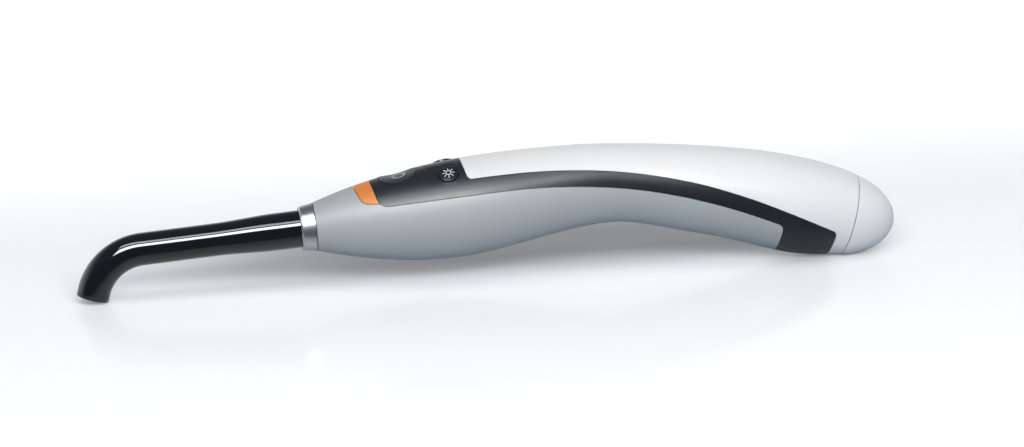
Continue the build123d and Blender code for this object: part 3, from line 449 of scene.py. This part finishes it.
camera = bpy.data.objects.new("camera", bpy.data.cameras.new("camera"))
camera.data.sensor_width = 36.0
camera.data.lens = focal_px / photo_width_px * camera.data.sensor_width
camera.data.clip_end = 50.0
turn = Matrix((right, above, -forward)).transposed().to_4x4()
camera.matrix_world = Matrix.Translation(aim - forward * view_distance) @ turn
bpy.context.scene.collection.objects.link(camera)
bpy.context.scene.camera = camera
print("lens in mm:", round(camera.data.lens, 1))

# %% [markdown]
# ## The table
# The photograph stands on a white table that fades into a white background. A pale plane keeps the
# object's shadow, and for camera rays it glows a little, more so far behind, so that it meets the
# white background without any more light on the object. Where the soft shadow falls, just behind the
# object, a painted shadow deepens it: a darker band of the table's colour, without the glow. Light
# that bounces off the table comes back dimmer and slightly blue, and reflections see the part in
# front of the object as dark, as in a studio whose table ends there.

# %% The table and its painted shadow band
black, white = (0.0, 0.0, 0.0), (1.0, 1.0, 1.0)
table_white, shadow_grey = (0.94, 0.95, 0.96), (0.37, 0.36, 0.37)
table_finish = Finish("table", table_white, 0.14, specular_ior_level=0.08)
table_half = 3.0
table_drawing = bmesh.new()
bmesh.ops.create_grid(table_drawing, x_segments=1, y_segments=1, size=table_half)
made_object("table", table_drawing, table_finish)

# A painted shadow: a band just behind the object, from near the tip to the end cap, where the table's colour turns
# darker and its glow is left out.
band_begins, band_ends = (-6 * mm, 24 * mm), (45 * mm, 95 * mm)
band_stops_at_cap = (90 * mm, 140 * mm)
shade_begins_at_tip, glowless_shadow_begins_at_tip = (-120 * mm, -20 * mm), (-140 * mm, -60 * mm)
backward = table_finish.along(Vector((0, 1, 0)))
lengthwise = table_finish.along(Vector((1, 0, 0)))
painted_shadow_band = backward.step(*band_begins) * (1 - backward.step(*band_ends))
painted_shadow_band = painted_shadow_band * (1 - lengthwise.step(*band_stops_at_cap))
painted_shadow_share = painted_shadow_band * lengthwise.step(*shade_begins_at_tip)
glowless_painted_shadow = painted_shadow_band * lengthwise.step(*glowless_shadow_begins_at_tip)

# %% What bounced light, reflections and the camera see of the table
bounce_blue, mirrored_dark = (0.42, 0.50, 0.58), (0.10, 0.115, 0.13)
mirror_fades, mirror_fade_share = (-35 * mm, -4 * mm), 0.7
near_glow, least_glow = 0.17, 0.02
far_rises = (((60 * mm, 200 * mm), 0.20), ((150 * mm, 350 * mm), 0.12))

# The table's colour, darkened to a painted shadow inside the band.
table_with_painted_shadow = table_finish.blend(painted_shadow_share, table_white, shadow_grey)
bounced = table_finish.blend(table_finish.ray("Diffuse"), table_with_painted_shadow, bounce_blue)
mirrored = table_finish.ray("Glossy") * (1 - backward.step(*mirror_fades) * mirror_fade_share)
table_finish.set("Base Color", table_finish.blend(mirrored, bounced, mirrored_dark))
# The glow is left out where the painted shadow lies, so that the painted shadow stays dark.
glow = (1 - glowless_painted_shadow) * near_glow + least_glow
for rise, share in far_rises:
    glow = glow + backward.step(*rise) * share
table_finish.set("Emission Color",
                 table_finish.blend(table_finish.ray("Camera") * glow, black, white))
table_finish.set("Emission Strength", 1.0)
print("table in metres:", 2 * table_half)

# %% [markdown]
# ## The background
# A camera ray that misses the table sees plain white. A reflection sees a studio: a dark room in
# front, a white wall behind and a dark ceiling, which is what gives the black guide its dark upper
# side. Everything else gets a quiet fill light, bluish in front and paler behind.

# %% The background
world = bpy.data.worlds.new("studio")
bpy.context.scene.world = world
world.use_nodes = True
background = world.node_tree.nodes["Background"]


class Sky(Finish):
    """The world's own node tree, with the same helpers as a finish."""

    def __init__(self, node_tree):
        self.tree = node_tree


# %% The studio's walls and ceiling
ceiling_rises, wall_rises = (0.10, 0.75), (-0.35, 0.35)
dark_room, white_wall, dark_ceiling = (0.075, 0.088, 0.105), (0.80, 0.83, 0.86), (0.12, 0.13, 0.15)
fill_front, fill_behind, fill_above = (0.09, 0.12, 0.15), (0.24, 0.27, 0.30), (0.17, 0.18, 0.19)

sky = Sky(world.node_tree)
direction = sky.node("ShaderNodeTexCoord", output="Generated")
high_up = sky.node("ShaderNodeSeparateXYZ", None, {0: direction}, output="Z").step(*ceiling_rises)
behind = sky.node("ShaderNodeSeparateXYZ", None, {0: direction}, output="Y").step(*wall_rises)
reflected = sky.blend(high_up, sky.blend(behind, dark_room, white_wall), dark_ceiling)
fill = sky.blend(high_up, sky.blend(behind, fill_front, fill_behind), fill_above)
shown = sky.blend(sky.ray("Glossy") + sky.ray("Transmission"), fill, reflected)
sky.feed(background.inputs["Color"], sky.blend(sky.ray("Camera"), shown, white))
background.inputs["Strength"].default_value = 1.0
print("background nodes:", len(world.node_tree.nodes))

# %% [markdown]
# ## The lamps
# The photograph's shadow falls behind the object, so its main lamp stands in front, about 31
# degrees up. A large soft box high above lights the tops, and two weak ones in front and behind
# fill the shadows. None of these four shows in a reflection. Two more lamps do the opposite: they
# light nothing, and only the polished surfaces reflect them, as the guide's stripes of light.


# %% Helpers for lamps
lit_point = Vector((0.0, 0.0, 15 * mm))


def soft_box(name, place, size, watts, colour=white):
    """A rectangular lamp that faces the middle of the object."""
    light = bpy.data.lights.new(name, "AREA")
    light.shape = "RECTANGLE"
    light.size, light.size_y = size
    light.energy = watts
    light.color = colour
    lamp = bpy.data.objects.new(name, light)
    facing = (lit_point - place).to_track_quat("-Z", "Y")
    lamp.matrix_world = Matrix.Translation(place) @ facing.to_matrix().to_4x4()
    lamp.visible_camera = False
    bpy.context.scene.collection.objects.link(lamp)
    return lamp


def in_front(elevation, distance, across=0.0):
    """A place in front of the object at an elevation in degrees."""
    return Vector((across, -distance * cos(radians(elevation)),
                   distance * sin(radians(elevation))))


# %% Four lamps that light the object
key = soft_box("key", in_front(elevation=31, distance=1.1), size=(0.8, 0.30), watts=7.2,
               colour=(1.0, 0.99, 0.975))
upper = soft_box("upper", in_front(elevation=74, distance=1.2), size=(1.6, 1.0), watts=5.4,
                 colour=(0.97, 0.98, 1.0))
front = soft_box("front", in_front(elevation=22, distance=1.4), size=(1.6, 0.5), watts=2.2,
                 colour=(0.95, 0.98, 1.0))
back = soft_box("back", Vector((0.0, 1.3, 0.75)), size=(1.6, 0.6), watts=3.0,
                colour=(0.97, 0.985, 1.0))
for lamp in (key, upper, front, back):
    lamp.visible_glossy = False

# %% Two lamps that only reflections show
stripe_low = soft_box("stripe_low", in_front(elevation=43, distance=1.1, across=-0.20),
                      size=(0.8, 0.30), watts=12.0)
stripe_high = soft_box("stripe_high", in_front(elevation=64, distance=1.1, across=-0.20),
                       size=(0.8, 0.22), watts=3.0, colour=(0.86, 0.93, 1.0))
for stripe in (stripe_low, stripe_high):
    stripe.visible_diffuse = False
    stripe.data.cycles.max_bounces = 0
print("lamps:", len(bpy.data.lights))

# %% [markdown]
# ## Printing on curved parts
# The symbols on the buttons are pad-printed ink. We draw each symbol flat, in millimetres, from
# simple shapes, and then let every point fall onto the button along the button's own axis. A
# little lift keeps the ink on the surface, and a Solidify modifier gives it its thickness.


# %% Helpers for ink
ink_lift = 0.012 * mm
ink_thickness = 0.03 * mm
drop_height = 20 * mm
ink = moulded("ink_pale", (0.80, 0.82, 0.84), 0.5, 0.1 * mm, 0.002 * mm)


def arc_band(drawing, radius, width, start, sweep, steps):
    """A band along an arc, swept by spinning one short edge."""
    inner = drawing.verts.new((radius - width / 2, 0, 0))
    outer = drawing.verts.new((radius + width / 2, 0, 0))
    middle = drawing.verts.new((radius, 0, 0))
    edges = [drawing.edges.new((inner, middle)), drawing.edges.new((middle, outer))]
    points = [inner, middle, outer]
    bmesh.ops.rotate(drawing, verts=points, cent=(0, 0, 0), matrix=Matrix.Rotation(start, 3, "Z"))
    bmesh.ops.spin(drawing, geom=points + edges, cent=(0, 0, 0), axis=(0, 0, 1), angle=sweep,
                   steps=steps, use_merge=sweep == tau)


def bar(drawing, start, end, width, angle=0.0, steps=4):
    """A straight bar that points outward from the middle, turned by an angle."""
    made = bmesh.ops.create_grid(drawing, x_segments=steps, y_segments=1, size=0.5)["verts"]
    bmesh.ops.scale(drawing, verts=made, vec=(end - start, width, 1))
    bmesh.ops.translate(drawing, verts=made, vec=((start + end) / 2, 0, 0))
    bmesh.ops.rotate(drawing, verts=made, cent=(0, 0, 0), matrix=Matrix.Rotation(angle, 3, "Z"))


def print_on(name, drawing, node_name, inward, along):
    """Let a flat drawing fall inward onto a node as ink, with the drawing's X along a direction."""
    low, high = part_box(node_name)
    centre, outward = (low + high) / 2, -inward
    first = (along - outward * along.dot(outward)).normalized()
    second = outward.cross(first)
    target = nodes[node_name].data
    surface = BVHTree.FromPolygons([vertex.co for vertex in target.vertices],
                                   [face.vertices for face in target.polygons])
    for vertex in drawing.verts:
        start = centre + first * vertex.co.x + second * vertex.co.y + outward * drop_height
        vertex.co = surface.ray_cast(start, inward)[0] + outward * ink_lift
    bmesh.ops.recalc_face_normals(drawing, faces=drawing.faces)
    if sum((face.normal for face in drawing.faces), Vector()).dot(outward) < 0:
        bmesh.ops.reverse_faces(drawing, faces=drawing.faces)
    symbol = made_object(name, drawing, ink)
    thick = symbol.modifiers.new("ink thickness", "SOLIDIFY")
    thick.thickness, thick.offset = ink_thickness, -1.0
    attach(symbol, node_name)
    print(name, "faces:", len(symbol.data.polygons))


# %% [markdown]
# ## The three symbols
# The start button carries a broken ring with a bar in its gap. The two small buttons carry a sun
# for the light program and a clock for the time. Rings are an edge spun round a point, and bars
# are small grids, cut crosswise so that they can follow the dish of a button.

# %% The start symbol
toward_tip = Vector((-1, 0, 0))
start_symbol = bmesh.new()
start_line, gap = 0.36 * mm, radians(64)
arc_band(start_symbol, radius=2.05 * mm, width=start_line, start=gap / 2, sweep=tau - gap, steps=64)
bar(start_symbol, start=1.0 * mm, end=2.5 * mm, width=start_line)
print_on("start_symbol", start_symbol, "start_button", joint_axis("start_press"), toward_tip)

# %% The program symbol: a small sun
sun_symbol = bmesh.new()
sun_line, sun_rays = 0.27 * mm, 8
arc_band(sun_symbol, radius=0.76 * mm, width=sun_line, start=0.0, sweep=tau, steps=40)
for sun_ray in range(sun_rays):
    bar(sun_symbol, start=1.16 * mm, end=1.86 * mm, width=sun_line, angle=tau * sun_ray / sun_rays)
print_on("program_symbol", sun_symbol, "program_button", joint_axis("program_press"), -toward_tip)

# %% The time symbol: a small clock
clock_symbol = bmesh.new()
clock_line, hand_tail = 0.24 * mm, 0.12 * mm
arc_band(clock_symbol, radius=1.15 * mm, width=clock_line, start=0.0, sweep=tau, steps=40)
for hand_length, hand_turn in ((0.85 * mm, tau / 4), (0.62 * mm, 0.0)):
    bar(clock_symbol, start=-hand_tail, end=hand_length, width=clock_line, angle=hand_turn)
print_on("time_symbol", clock_symbol, "time_button", joint_axis("time_press"), -toward_tip)

# %% [markdown]
# ## Last settings
# The Standard view keeps colours as they are written.

# %% Finish
bpy.context.scene.view_settings.view_transform = "Standard"
bpy.context.view_layer.update()
